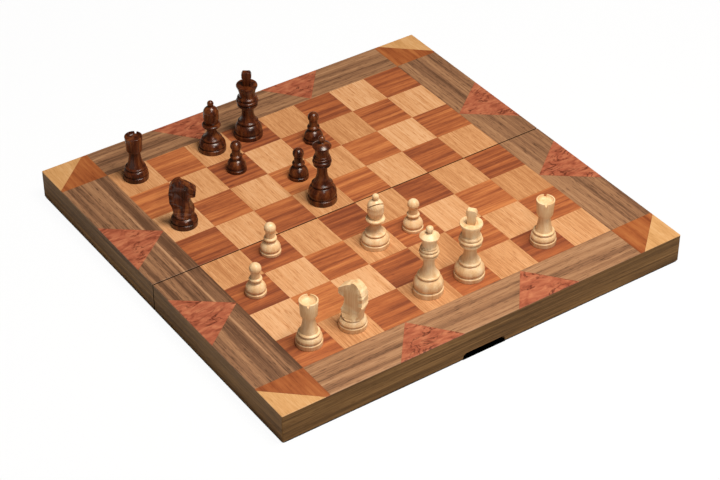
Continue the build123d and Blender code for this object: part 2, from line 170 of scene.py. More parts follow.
def emboss(tree, shader, height, strength, depth):
    """Raises a shader's surface by a pattern, to a depth in mm."""
    relief = node(tree, "ShaderNodeBump", {"Height": height, "Strength": strength, "Distance": depth * MM})
    tree.links.new(relief.outputs[0], shader.inputs["Normal"])


def mottle_colour(tree, shader, dark, light, size):
    """Colours a shader in soft spots of a size in mm, and gives their pattern."""
    spots = node(tree, "ShaderNodeTexNoise", {
        "Vector": object_place(tree), "Scale": 1 / (size * MM), "Detail": 4.0}).outputs["Fac"]
    colour = node(tree, "ShaderNodeValToRGB", {"Fac": spots}, stops=[(0.3, dark), (0.7, light)])
    tree.links.new(colour.outputs["Color"], shader.inputs["Base Color"])
    return spots


def leaf_of_veneer(tree):
    """Place in a leaf of veneer of its own for each square, and a number from 0 to 1 for that leaf."""
    place = object_place(tree)
    cell = node(tree, "ShaderNodeVectorMath", {0: place, "Scale": 1 / (SQUARE * MM)}, operation="SCALE")
    cell = node(tree, "ShaderNodeVectorMath", {0: cell.outputs[0]}, operation="FLOOR")
    flat = node(tree, "ShaderNodeVectorMath", {0: cell.outputs[0], 1: (1, 1, 0)}, operation="MULTIPLY")
    random = node(tree, "ShaderNodeTexWhiteNoise", {"Vector": flat.outputs[0]}, noise_dimensions="3D")
    shift = node(tree, "ShaderNodeVectorMath", {0: random.outputs["Color"], "Scale": 3.0}, operation="SCALE")
    moved = node(tree, "ShaderNodeVectorMath", {0: place, 1: shift.outputs[0]}, operation="ADD")
    return moved.outputs[0], random.outputs["Value"]


def summed(tree, *terms):
    """Middle tone 0.5 plus terms, each a socket, the value at which it adds nothing and its weight."""
    total = 0.5
    for socket, neutral, weight in terms:
        shifted = node(tree, "ShaderNodeMath", {0: socket, 1: neutral}, operation="SUBTRACT")
        sum_so_far = node(tree, "ShaderNodeMath", {
            0: shifted.outputs[0], 1: weight, 2: total}, operation="MULTIPLY_ADD")
        total = sum_so_far.outputs[0]
    return total


def pores_of(tree, place, grain, width, length):
    """Open pores as dark dashes: 1 in a pore, 0 beside it."""
    dashes = grain_noise(tree, place, grain, width, length, Detail=1.0)
    return node(tree, "ShaderNodeMapRange", {"Value": dashes, "From Min": 0.58, "From Max": 0.68}).outputs[0]


def wood(name, grain, tones, figure=(14, 160, 1.0), streaks=(1.6, 45, 0.5), pores=(0.6, 7, 0.1),
         roughness=0.42, shine=0.4, leaf_spread=0.0, per_square=False, extra=None):
    """Lacquered wood: a broad figure, finer streaks and pores, all drawn out along the grain.

    Tones are hex colours from dark to light. Figure, streaks and pores are each a width and
    a length in mm and a depth. Shine is how strongly the lacquer mirrors the room. Leaf spread is
    how much one square's leaf differs from the next. Extra gives further terms of the tone.
    """
    made, tree, shader = blank(name, roughness)
    shader.inputs["Specular IOR Level"].default_value = shine
    place, leaf = leaf_of_veneer(tree) if per_square else (object_place(tree), 0.5)
    broad = grain_noise(tree, place, grain, *figure[:2], Detail=2.0)
    fine = grain_noise(tree, place, grain, *streaks[:2], Detail=4.0, Roughness=0.7)
    open_pores = pores_of(tree, place, grain, *pores[:2])
    terms = [(broad, 0.5, figure[2]), (fine, 0.5, streaks[2]), (open_pores, 0.0, -pores[2])]
    if per_square:
        terms.append((leaf, 0.5, leaf_spread))
    terms += extra(tree) if extra else []
    places = [0.3 + 0.4 * i / (len(tones) - 1) for i in range(len(tones))]
    colour = node(tree, "ShaderNodeValToRGB", {"Fac": summed(tree, *terms)}, stops=list(zip(places, tones)))
    tree.links.new(colour.outputs["Color"], shader.inputs["Base Color"])
    rough = node(tree, "ShaderNodeMapRange", {
        "Value": fine, "To Min": roughness - 0.06, "To Max": roughness + 0.08})
    tree.links.new(rough.outputs[0], shader.inputs["Roughness"])
    height = node(tree, "ShaderNodeMath", {0: fine, 1: open_pores}, operation="SUBTRACT")
    emboss(tree, shader, height.outputs[0], strength=0.05, depth=GRAIN_DEPTH)
    return made


# Bands of the walnut border: how far beyond the squares their middle lies, half their width
# in mm, and how much paler they are
NEAR_LEAF = (25.0, 25.0, 0.05)
LEFT_LEAF = (25.0, 25.0, -0.04)
LEFT_HEARTWOOD = (6.5, 6.5, -0.09)
LEFT_PALE_LINE = (14.2, 0.9, 0.14)


def border_leaves(tree):
    """How the border's leaves differ. The near one is paler. The left one is darker, with a band
    of heartwood beside the squares and a pale line along it."""
    across, along, _ = node(tree, "ShaderNodeSeparateXYZ", {"Vector": object_place(tree)}).outputs
    terms = []
    for coordinate, band in ((along, NEAR_LEAF), (across, LEFT_LEAF), (across, LEFT_HEARTWOOD),
                             (across, LEFT_PALE_LINE)):
        beyond_squares, half_width, weight = band
        inside = within(tree, coordinate, -(SQUARES_HALF + beyond_squares), half_width)
        terms.append((inside, 0.0, weight))
    return terms


def burl_material():
    """Red burl veneer under satin lacquer: soft mottling, and sparse dark veins that wander along it."""
    made, tree, shader = blank("red_burl_veneer_satin", 0.4)
    place = object_place(tree)
    mottle = grain_noise(tree, place, "X", 4.5, 11, Detail=4.0, Roughness=0.6, Distortion=0.6)
    path = grain_noise(tree, place, "X", 11, 24, Detail=4.0, Roughness=0.6, Distortion=0.8)
    off_path = node(tree, "ShaderNodeMath", {0: path, 1: 0.5}, operation="SUBTRACT")
    distance = node(tree, "ShaderNodeMath", {0: off_path.outputs[0]}, operation="ABSOLUTE")
    line = node(tree, "ShaderNodeMapRange", {
        "Value": distance.outputs[0], "From Max": 0.035, "To Min": 1.0, "To Max": 0.0})
    patches = node(tree, "ShaderNodeTexNoise", {"Vector": place, "Scale": 1 / (17 * MM), "Detail": 1.0})
    where = node(tree, "ShaderNodeMapRange", {
        "Value": patches.outputs["Fac"], "From Min": 0.42, "From Max": 0.58})
    vein = node(tree, "ShaderNodeMath", {0: line.outputs[0], 1: where.outputs[0]}, operation="MULTIPLY")
    ground = node(tree, "ShaderNodeValToRGB", {"Fac": mottle}, stops=[
        (0.3, "#84402A"), (0.48, "#A55A3F"), (0.7, "#BE7654")])
    colour = node(tree, "ShaderNodeMixRGB", {
        0: vein.outputs[0], 1: ground.outputs["Color"], 2: linear("#57200F")})
    tree.links.new(colour.outputs[0], shader.inputs["Base Color"])
    emboss(tree, shader, mottle, strength=0.04, depth=GRAIN_DEPTH)
    return made


def felt_material(name, dark, light):
    """Wool felt: a short matted pile, soft at grazing angles."""
    made, tree, shader = blank(name, 0.95)
    pile = mottle_colour(tree, shader, dark, light, size=0.9)
    emboss(tree, shader, pile, strength=0.5, depth=0.3)
    shader.inputs["Sheen Weight"].default_value = 0.3
    return made


def metal_material(name, dark, light, roughness):
    """Bare metal with the faint mottling that handling leaves."""
    made, tree, shader = blank(name, roughness)
    marks = mottle_colour(tree, shader, dark, light, size=3.0)
    rough = node(tree, "ShaderNodeMapRange", {
        "Value": marks, "To Min": roughness - 0.08, "To Max": roughness + 0.1})
    tree.links.new(rough.outputs[0], shader.inputs["Roughness"])
    shader.inputs["Metallic"].default_value = 1.0
    return made


WALNUT = ["#5A3D2A", "#845E44", "#9F7554", "#B48A68"]
WALNUT_WALL = ["#4A3010", "#694A25", "#866339"]
# Walnut darkened nearly black: painted shade for the sides of the seam
WALNUT_SEAM_SHADE = ["#1E1408", "#2E1F0E", "#403018"]
WALL_GRAIN = {"figure": (4, 150, 0.7), "streaks": (1.0, 50, 0.7), "roughness": 0.5, "shine": 0.1}
materials = {
    # Walnut veneer under satin lacquer: grey-brown, with long dark lines and a soft sheen
    "walnut_veneer": wood("walnut_veneer_satin", "border", WALNUT, figure=(6, 260, 0.7),
                          streaks=(1.2, 90, 0.6), pores=(0.7, 9, 0.16), extra=border_leaves),
    # Solid walnut, satin: darker than the veneer, its grain along each wall, with hardly a reflection
    "walnut_end_walls": wood("walnut_end_wall_satin", "X", WALNUT_WALL, **WALL_GRAIN),
    # The sides of the seam, painted with shade: walnut darkened to nearly black for the shade that falls in
    # the seam, a nearly black line across the board
    "walnut_spine_walls_painted_shade": wood("walnut_spine_wall_stained", "X", WALNUT_SEAM_SHADE, **WALL_GRAIN),
    "walnut_side_walls": wood("walnut_side_wall_satin", "Y", WALNUT_WALL, **WALL_GRAIN),
    # Pale veneer, satin: fine straight streaks and dark dashes, each square a little different
    "light_square_veneer": wood("pale_square_veneer_satin", "Y", ["#AE7448", "#CE9666", "#DEAE82"],
                                figure=(9, 150, 0.3), streaks=(1.0, 45, 0.85), pores=(0.5, 9, 0.22),
                                leaf_spread=0.2, per_square=True),
    # Red-brown veneer, satin: broad stripes of two tones, each square a little different
    "dark_square_veneer": wood("red_brown_square_veneer_satin", "X", ["#7A3E26", "#A65D35", "#C67C48"],
                               figure=(5, 110, 0.75), streaks=(1.3, 34, 0.5), leaf_spread=0.22,
                               per_square=True),
    "burl_veneer": burl_material(),
    # Corner veneers, satin: one pale and even, one brown with clear stripes
    "corner_pale_veneer": wood("pale_corner_veneer_satin", "Y", ["#B4834F", "#CE9C66", "#DAB080"],
                               figure=(8, 90, 0.3), streaks=(0.8, 12, 0.7)),
    "corner_brown_veneer": wood("brown_corner_veneer_satin", "Y", ["#783A1A", "#9C562C", "#B26E3C"],
                                figure=(7, 70, 0.7), streaks=(1.3, 28, 0.35)),
    # Birch plywood, sanded and bare: pale and dull, with a faint grain
    "plywood": wood("birch_plywood_sanded", "X", ["#A98A5C", "#C3A274", "#D0B288"], roughness=0.7),
    "felt": felt_material("green_felt_lining", "#12361F", "#1F5030"),
    "foot_felt": felt_material("brown_felt_foot", "#3A2A1E", "#54402F"),
    "hinge_brass": metal_material("rolled_brass", "#B08A42", "#D2AC62", 0.3),
    "screw_brass": metal_material("turned_brass", "#A88440", "#C8A25A", 0.35),
    "magnet_nickel": metal_material("nickel_plate", "#A9A8A4", "#C4C3BF", 0.25),
    # Stained wood under gloss lacquer: brown-black, with small sharp highlights
    "dark_man_wood": wood("stained_wood_gloss", "Z", ["#2C1006", "#4E220E", "#74401E"], figure=(5, 40, 1.0),
                          streaks=(0.9, 16, 0.5), roughness=0.25),
    # Boxwood under satin lacquer: creamy and nearly even, with wide soft highlights
    "light_man_wood": wood("boxwood_satin", "Z", ["#D4A472", "#EAC698", "#F6E0BC"], figure=(6, 50, 0.6),
                           streaks=(0.7, 22, 0.5), pores=(0.4, 5, 0.06), roughness=0.36),
    "baize": felt_material("green_baize", "#173F26", "#27603A"),
}

# Grain of the solid walnut, by what a node's name holds, the first that fits; the seam's sides get walnut
# with painted shade
WALNUT_WALLS = {
    "end_wall": "walnut_end_walls",
    # The sides of the seam: walnut with painted shade, nearly black
    "spine_wall": "walnut_spine_walls_painted_shade",
    "_wall": "walnut_side_walls",
}


def dress_frame():
    """Gives every CAD node the material of its slot."""
    slots = {entry["node"]: entry["material_slot"] for entry in frame["record"]["subparts"]}
    for name, thing in frame["nodes"].items():
        slot = slots[name]
        if slot == "walnut_solid":
            slot = next(wall for part, wall in WALNUT_WALLS.items() if part in name)
        thing.data.materials.clear()
        thing.data.materials.append(materials[slot])


# ------------------------------------------------------------------ meshes
def placed(name, mesh, material):
    """An object at the origin with its place in its mesh."""
    mesh.materials.clear()
    mesh.materials.append(material)
    thing = bpy.data.objects.new(name, mesh)
    bpy.context.scene.collection.objects.link(thing)
    return thing


def baked(thing):
    """Applies a thing's modifiers for good."""
    bpy.context.view_layer.update()
    graph = bpy.context.evaluated_depsgraph_get()
    final = bpy.data.meshes.new_from_object(thing.evaluated_get(graph))
    thing.modifiers.clear()
    thing.data = final
    return thing


def soften(mesh, degrees=38):
    """Smooth shading that keeps the edges sharper than an angle."""
    mesh.polygons.foreach_set("use_smooth", [True] * len(mesh.polygons))
    mesh.set_sharp_from_angle(angle=math.radians(degrees))


def curved(start, outline):
    """Points along an outline. A third number on a point makes the way to it an arc that
    stands out by that much."""
    points = [start]
    for across, height, *bulge in outline:
        here, there = Vector(points[-1]), Vector((across, height))
        if bulge:
            chord = there - here
            rightwards = Vector((chord.y, -chord.x)).normalized()
            sweep = 4 * math.atan(bulge[0] / (chord.length / 2))
            radius = chord.length / 2 / math.sin(abs(sweep) / 2)
            sign = 1 if bulge[0] > 0 else -1
            centre = here + chord / 2 + rightwards * (bulge[0] - sign * radius)
            steps = max(2, math.ceil(abs(sweep) / ARC_STEP))
            for i in range(1, steps):
                turn = Matrix.Rotation(sweep * i / steps, 2)
                points.append(tuple(centre + turn @ (here - centre)))
        points.append((across, height))
    return points


# ------------------------------------------------------------------ turning
def turning_tree():
    """Turns an outline about its axis. The outline lies a little inside a circle that carries it round."""
    tree = bpy.data.node_groups.new("Turning", "GeometryNodeTree")
    face = tree.interface
    face.new_socket("Outline", in_out="INPUT", socket_type="NodeSocketGeometry")
    for name, kind in (("Segments", "NodeSocketInt"), ("Carrier radius", "NodeSocketFloat"),
                       ("Wood", "NodeSocketMaterial")):
        face.new_socket(name, in_out="INPUT", socket_type=kind)
    face.new_socket("Turned", in_out="OUTPUT", socket_type="NodeSocketGeometry")
    given = node(tree, "NodeGroupInput").outputs
    outline = node(tree, "GeometryNodeMeshToCurve", {"Mesh": given["Outline"]})
    carrier = node(tree, "GeometryNodeCurvePrimitiveCircle",
                   {"Resolution": given["Segments"], "Radius": given["Carrier radius"]})
    swept = node(tree, "GeometryNodeCurveToMesh",
                 {"Curve": carrier.outputs["Curve"], "Profile Curve": outline.outputs[0]})
    closed = node(tree, "GeometryNodeMergeByDistance", {"Geometry": swept.outputs[0], "Distance": 0.001 * MM})
    outward = node(tree, "GeometryNodeFlipFaces", {"Mesh": closed.outputs[0]})
    real = node(tree, "GeometryNodeRealizeInstances", {"Geometry": outward.outputs[0]})
    painted = node(tree, "GeometryNodeSetMaterial", {"Geometry": real.outputs[0], "Material": given["Wood"]})
    node(tree, "NodeGroupOutput", {"Turned": painted.outputs[0]})
    return tree


def set_inputs(modifier, **values):
    """Sets a modifier's named inputs by their sockets' identifiers."""
    items = modifier.node_group.interface.items_tree
    sockets = {item.name.replace(" ", "_"): item.identifier for item in items if item.in_out == "INPUT"}
    for name, value in values.items():
        modifier[sockets[name]] = value


TURNING = turning_tree()
CARRIER_RADIUS = 20.0


def turned(name, outline, material):
    """A man or a part of one, turned from its outline. Heights are counted from its foot."""
    points = curved((0, outline[0][1]), outline)
    if points[-1][0] != 0:
        points.append((0, points[-1][1]))
    corners = [((across - CARRIER_RADIUS) * MM, -height * MM, 0) for across, height in points]
    mesh = bpy.data.meshes.new(name)
    mesh.from_pydata(corners, [(i, i + 1) for i in range(len(corners) - 1)], [])
    thing = placed(name, mesh, material)
    maker = thing.modifiers.new("turning", "NODES")
    maker.node_group = TURNING
    set_inputs(maker, Segments=TURNING_SEGMENTS, Carrier_radius=CARRIER_RADIUS * MM, Wood=material)
    baked(thing)
    soften(thing.data)
    return thing


def turned_foot(base, plinth, neck, top):
    """Outline of the foot that all the men share: baize recess, plinth, groove and bun."""
    radius = base / 2
    start = plinth + FOOT_GROOVE
    bun = top - start
    return [
        (radius - BAIZE_MARGIN, BAIZE_RECESS),
        (radius - BAIZE_MARGIN, 0),
        (radius - PLINTH_ROUND, 0),
        (radius, PLINTH_ROUND, 0.15),
        (radius, plinth - PLINTH_SHOULDER),
        (radius - PLINTH_SHOULDER, plinth, 0.3),
        (radius - PLINTH_SHOULDER - FOOT_GROOVE, start),
        (radius - 0.4, start + 0.28 * bun, 0.3),
        (neck, top, BUN_FULLNESS * bun),
    ]


def bead(radius, bottom, height):
    """Outline of a half-round ring."""
    bulge = 0.45 * height
    return [(radius - bulge, bottom), (radius - bulge, bottom + height, bulge)]


def ball(radius, neck, height):
    """Outline of a ball on a neck, up to its pole."""
    centre = height - radius
    neck_height = centre - math.sqrt(radius ** 2 - neck ** 2)
    half_chord = math.sqrt(neck ** 2 + (height - neck_height) ** 2) / 2
    return [(neck, neck_height), (0, height, radius - math.sqrt(radius ** 2 - half_chord ** 2))]


def king_outline():
    floor = KING_HEIGHT - FINIAL_HEIGHT
    crown = floor + KING_DISH
    outline = turned_foot(KING_BASE, 4.3, 9.0, 14.2)
    outline += bead(9.6, 14.4, 2.6)
    outline += [(8.0, 17.4), (7.6, 18.2), (5.6, 24.6, -0.4), (5.6, crown - 26.4), (6.8, crown - 22.9, -0.2)]
    outline += bead(9.6, crown - 22.7, 3.6)
    outline += [(8.4, crown - 18.7)]
    outline += bead(10.3, crown - 18.5, 3.0)
    outline += [(8.8, crown - 15.1)]
    outline += bead(9.3, crown - 14.9, 2.4)
    outline += [(7.8, crown - 12.1), (7.3, crown - 10.4, -0.2), (9.6, crown - 1.8, -0.5)]
    outline += [(9.9, crown - 0.8, 0.1), (9.6, crown)]
    return outline + [(5.8, crown), (5.0, floor), (0, floor)]


def queen_outline():
    coronet = QUEEN_HEIGHT - 10.2
    outline = turned_foot(QUEEN_BASE, 5.1, 9.0, 16.6)
    outline += bead(9.7, 16.8, 2.4)
    outline += [(8.2, 19.5), (4.6, coronet - 27.4, -0.8), (4.9, coronet - 20.6, -0.1)]
    outline += bead(7.8, coronet - 20.4, 2.6)
    outline += [(7.0, coronet - 17.6)]
    outline += bead(8.6, coronet - 17.4, 3.2)
    outline += [(7.0, coronet - 14.0)]
    outline += bead(7.9, coronet - 13.8, 2.4)
    outline += [(6.4, coronet - 11.2)]
    outline += bead(7.0, coronet - 11.0, 1.4)
    outline += [(6.1, coronet - 9.4), (6.1, coronet - 7.0), (7.8, coronet - 0.9, -0.5)]
    outline += [(8.5, coronet - 0.3), (8.4, coronet + 0.4), (2.4, QUEEN_HEIGHT - 7.0, 0.5)]
    outline += [(1.8, QUEEN_HEIGHT - 6.4)]
    return outline + ball(3.2, 1.8, QUEEN_HEIGHT)


def bishop_outline():
    head = BISHOP_HEIGHT - 23.6
    outline = turned_foot(BISHOP_BASE, 4.4, 8.8, 11.2)
    outline += bead(9.4, 11.4, 2.2)
    outline += [(8.1, 13.9), (4.1, head - 7.2, -0.8), (4.3, head - 5.8, -0.1)]
    outline += bead(6.2, head - 5.6, 1.6)
    outline += [(5.8, head - 3.8)]
    outline += bead(8.6, head - 3.6, 3.0)
    outline += [(5.4, head - 0.4), (5.4, head), (7.0, head + 9.0, 0.8), (2.0, BISHOP_HEIGHT - 5.8, 1.9)]
    outline += [(1.5, BISHOP_HEIGHT - 5.4)]
    return outline + ball(3.0, 1.5, BISHOP_HEIGHT)


def rook_outline():
    rim = 8.1
    outline = turned_foot(ROOK_BASE, 4.6, 8.6, 10.8)
    outline += bead(9.4, 11.0, 2.1)
    outline += [(7.6, 13.4), (5.2, ROOK_HEIGHT - 19.0, -0.4), (5.4, ROOK_HEIGHT - 15.4, -0.1)]
    outline += [(6.9, ROOK_HEIGHT - 15.0), (7.2, ROOK_HEIGHT - 14.2), (rim, ROOK_HEIGHT - 0.4, -0.2)]
    outline += [(rim - 0.4, ROOK_HEIGHT, 0.1), (rim - 1.2, ROOK_HEIGHT)]
    return outline + [(rim - 3.0, ROOK_HEIGHT - DISH_DEPTH, -0.4), (0, ROOK_HEIGHT - DISH_DEPTH)]


def pawn_outline():
    outline = turned_foot(PAWN_BASE, 3.1, 4.4, 12.2)
    outline += [(4.1, PAWN_HEIGHT - 17.4, -0.1)]
    outline += bead(5.8, PAWN_HEIGHT - 17.0, 2.6)
    outline += [(4.1, PAWN_HEIGHT - 14.0)]
    return outline + ball(5.2, 3.9, PAWN_HEIGHT)


def knight_foot_outline():
    return turned_foot(KNIGHT_BASE, 4.5, 8.8, 9.8) + [(8.6, KNIGHT_SEAT), (0, KNIGHT_SEAT)]


# ------------------------------------------------------------------ cutting and carving
# What a flat outline's across, up and depth become in space
SIDE_VIEW = Matrix(((1, 0, 0), (0, 0, -1), (0, 1, 0)))
FRONT_VIEW = Matrix(((0, 0, 1), (1, 0, 0), (0, 1, 0)))
TOP_VIEW = Matrix.Identity(3)


def prism(outline, view, depths):
    """Mesh of a flat outline, in mm, drawn in a view and made solid between two depths."""
    work = bmesh.new()
    low, high = depths
    face = work.faces.new([work.verts.new(view @ Vector((across, up, low)) * MM) for across, up in outline])
    grown = bmesh.ops.extrude_face_region(work, geom=[face])
    moved = [item for item in grown["geom"] if isinstance(item, bmesh.types.BMVert)]
    bmesh.ops.translate(work, vec=view @ Vector((0, 0, high - low)) * MM, verts=moved)
    bmesh.ops.recalc_face_normals(work, faces=work.faces)
    mesh = bpy.data.meshes.new("prism")
    work.to_mesh(mesh)
    work.free()
    return mesh


def cut(thing, mesh, operation="DIFFERENCE"):
    """Takes a mesh away from a thing, adds it, or keeps only what the two share."""
    tool = bpy.data.objects.new("tool", mesh)
    bpy.context.scene.collection.objects.link(tool)
    knife = thing.modifiers.new("cut", "BOOLEAN")
    knife.object = tool
    knife.operation = operation
    knife.solver = "EXACT"
    baked(thing)
    bpy.data.objects.remove(tool)
    soften(thing.data)
    return thing


def rook(name, material):
    tower = turned(name, rook_outline(), material)
    mouth, floor = SLOT_MOUTH / 2, SLOT_FLOOR / 2
    right = [(floor, -SLOT_DEPTH), (mouth, 0), (mouth, 1)]
    outline = [(across, ROOK_HEIGHT + up) for across, up in right + [(-a, u) for a, u in reversed(right)]]
    return cut(tower, prism(outline, FRONT_VIEW, (-ROOK_BASE, ROOK_BASE)))


def bishop(name, material):
    man = turned(name, bishop_outline(), material)
    half = SLIT_WIDTH / 2
    outline = [(0, -half), (-BISHOP_BASE, -half), (-BISHOP_BASE, half), (0, half)]
    tool = prism(outline, FRONT_VIEW, (-BISHOP_BASE, BISHOP_BASE))
    middle = Matrix.Translation(Vector((0, 0, BISHOP_HEIGHT - SLIT_REACH)) * MM)
    tool.transform(middle @ Matrix.Rotation(math.radians(-SLIT_SLOPE), 4, "X"))
    return cut(man, tool)


def rounded(thing, width, degrees=30):
    """Rounds every edge sharper than an angle."""
    rounding = thing.modifiers.new("rounding", "BEVEL")
    rounding.width = width * MM
    rounding.segments = 3
    rounding.limit_method = "ANGLE"
    rounding.angle_limit = math.radians(degrees)
    baked(thing)
    soften(thing.data, 50)
    return thing


def king_finial(name, material):
    """Small block like a cross with full arms, its corners softened."""
    tip, arm = FINIAL_HEIGHT, FINIAL_WIDTH / 2
    right = [(3.6, 0), (3.6, tip - 7.0), (arm, tip - 6.2), (arm, tip - 2.2), (3.4, tip)]
    floor = KING_HEIGHT - tip
    outline = [(across, floor + up) for across, up in right + [(-a, u) for a, u in reversed(right)]]
    half = FINIAL_THICKNESS / 2
    return rounded(placed(name, prism(outline, SIDE_VIEW, (-half, half)), material), EASED_EDGE)


def egg(centre, radii):
    """Mesh of an egg shape, in mm."""
    work = bmesh.new()
    shape = Matrix.Translation(Vector(centre) * MM) @ Matrix.Diagonal((*[r * MM for r in radii], 1))
    bmesh.ops.create_uvsphere(work, u_segments=20, v_segments=14, radius=1.0, matrix=shape)
    mesh = bpy.data.meshes.new("egg")
    work.to_mesh(mesh)
    work.free()
    return mesh


def knight_side():
    """Side view of the horse's head and neck, looking along +X."""
    seat, ear = KNIGHT_SEAT, KNIGHT_HEIGHT
    outline = [(8.8, seat), (10.2, seat + 4.6, 0.5), (5.2, ear - 20.2, -0.9), (5.6, ear - 16.4, -0.2)]
    outline += [(10.3, ear - 15.9), (11.3, ear - 14.8, 0.2), (11.3, ear - 10.2, 0.2)]
    outline += [(8.0, ear - 7.4, 0.3), (1.8, ear - 3.2, 0.3), (0.0, ear - 2.4), (-2.0, ear, -0.2)]
    outline += [(-6.6, ear - 1.6, 0.4), (-11.8, ear - 13.0, 1.4), (-8.8, seat, 0.9)]
    return curved((-8.8, seat), outline)[:-1]


def knight_front():
    """Front view: a flared neck, full cheeks and narrower ears."""
    seat, ear = KNIGHT_SEAT, KNIGHT_HEIGHT
    right = [(NECK_RADIUS, seat), (CHEEK, seat + 10.0, -1.4), (CHEEK, ear - 9.0)]
    right += [(0.75 * CHEEK, ear)]
    left = [(-CHEEK, ear - 9.0), (-CHEEK, seat + 10.0), (-NECK_RADIUS, seat, -1.4)]
    return curved((-NECK_RADIUS, seat), right + [(-0.75 * CHEEK, ear)] + left)[:-1]


def round_neck(thing, material):
    """Turns the horse's lower neck round, so that it meets its foot."""
    seat, ear, reach = KNIGHT_SEAT, KNIGHT_HEIGHT, KNIGHT_BASE / 2 + 1.0
    outline = [(NECK_RADIUS, seat), (reach, ear - THROAT_BELOW_EARS, -1.0)]
    outline += [(reach, ear + 1.0), (0, ear + 1.0)]
    flare = turned("flare", outline, material)
    cut(thing, flare.data, "INTERSECT")
    bpy.data.objects.remove(flare)


def narrow_head(thing):
    """Narrows the muzzle and the mane from the cheeks on, and parts the ears."""
    ear = KNIGHT_HEIGHT
    for side in (-1, 1):
        for start, end in (((4.0, CHEEK), (12.0, MUZZLE)), ((-7.0, CHEEK), (-13.0, MUZZLE))):
            outline = [start, end, (end[0], 12), (start[0], 12)]
            mirrored = [(x, side * y) for x, y in outline]
            cut(thing, prism(mirrored, TOP_VIEW, (ear - THROAT_BELOW_EARS, ear + 1)))
    half = EAR_GAP / 2
    groove = [(-half, 1), (-half, 0), (0, -EAR_GAP_DEPTH), (half, 0), (half, 1)]
    cut(thing, prism([(across, ear + up) for across, up in groove], FRONT_VIEW, (-5.0, 1.5)))


# The horse's features: place along the head, off its middle and below the ears, and three radii
NOSTRIL = ((10.2, 4.9, 11.2), (0.7, 0.6, 0.5))
EYE_SOCKET = ((3.4, 5.5, 7.4), (1.7, 1.0, 1.1))
EYE = ((3.4, 4.6, 7.4), (0.9, 0.5, 0.8))


def feature(side, place, radii):
    """Mesh of a rounded feature on one side of the horse's head."""
    along, off_middle, below_ears = place
    return egg((along, side * off_middle, KNIGHT_HEIGHT - below_ears), radii)


def carve_face(thing):
    """Mouth, nostrils, eyes and a combed mane."""
    ear = KNIGHT_HEIGHT
    mouth = [(12.0, ear - 13.4), (7.0, ear - 12.7), (7.0, ear - 12.3), (12.0, ear - 12.8)]
    cut(thing, prism(mouth, SIDE_VIEW, (-8, 8)))
    for side in (-1, 1):
        cut(thing, feature(side, *NOSTRIL))
        cut(thing, feature(side, *EYE_SOCKET))
        cut(thing, feature(side, *EYE), "UNION")
        for i in range(MANE_GROOVES):
            back, top = -8.6 - 0.5 * i, ear - 4.6 - 3.0 * i
            lock = [(back - 4, top + 1.7), (back + 2.6, top - 1.6), (back - 4, top + 0.9)]
            cut(thing, prism(lock, SIDE_VIEW, sorted((side * 4.4, side * 8))))


def knight_head(name, material):
    """Horse's head and neck sawn from three sides, with its features cut. The sawing leaves such
    short edges that the rounding of this mesh comes out with nearly no width."""
    thing = placed(name, prism(knight_side(), SIDE_VIEW, (-13, 13)), material)
    cut(thing, prism(knight_front(), FRONT_VIEW, (-14, 14)), "INTERSECT")
    round_neck(thing, material)
    narrow_head(thing)
    rounded(thing, EASED_EDGE)
    carve_face(thing)
    return thing


# ------------------------------------------------------------------ the men on the board
def stand(thing, place, shift, turn):
    """Stands a man on a square such as "d8", off its centre by a shift, turned by an angle in degrees."""
    x = (ord(place[0]) - ord("a") + 0.5) * SQUARE - SQUARES_HALF + shift[0]
    y = (int(place[1]) - 0.5) * SQUARE - SQUARES_HALF + shift[1]
    spot = Matrix.Translation(Vector((x, y, TOP)) * MM)
    thing.data.transform(spot @ Matrix.Rotation(math.radians(turn), 4, "Z"))
    thing.data.update()


def plain(outline):
    """A maker for a man that is only turned."""
    return lambda name, material: turned(name, outline(), material)


MAKERS = {
    "king": {"": plain(king_outline), "_finial": king_finial},
    "queen": {"": plain(queen_outline)},
    "bishop": {"": bishop},
    "knight": {"_foot": plain(knight_foot_outline), "_head": knight_head},
    "rook": {"": rook},
    "pawn": {"": plain(pawn_outline)},
}
BASES = {"king": KING_BASE, "queen": QUEEN_BASE, "bishop": BISHOP_BASE, "knight": KNIGHT_BASE,
         "rook": ROOK_BASE, "pawn": PAWN_BASE}
# name: square, how far off its centre, turn
MEN = {
    "dark_king": ("d8", (-0.8, 2.8), -35),
    "dark_queen": ("d5", (-0.8, 0.0), 0),
    "dark_bishop": ("c8", (0.0, 2.4), 90),
    "dark_knight": ("a6", (0.4, -1.2), -35),
    "dark_rook": ("a8", (0.4, 3.0), 46),
    "dark_pawn_c7": ("c7", (0.9, 1.9), 0),
    "dark_pawn_d6": ("d6", (0.8, 0.8), 0),
    "dark_pawn_e7": ("e7", (3.6, 1.2), 0),
    "light_king": ("e1", (1.2, 0.0), -50),
    "light_queen": ("d1", (0.0, 2.4), 0),
    "light_bishop": ("d3", (1.2, 1.2), -14),
    "light_knight": ("b1", (3.0, 1.2), 112),
    "light_rook_a1": ("a1", (1.2, 2.8), 55),
    "light_rook_g1": ("g1", (1.6, 1.2), 55),
    "light_pawn_a3": ("a3", (0.4, 2.2), 0),
    "light_pawn_b4": ("b4", (0.4, 2.0), 0),
    "light_pawn_e3": ("e3", (0.4, 0.4), 0),
}


def baize_disc(name, base):
    """Disc of baize glued into the recess under a man."""
    radius = base / 2 - BAIZE_MARGIN - BAIZE_SIDE_GAP
    bottom, top = BAIZE_FACE_GAP, BAIZE_RECESS - BAIZE_FACE_GAP
    outline = [(radius, bottom), (radius, top), (0, top)]
    return turned(name, outline, materials["baize"])


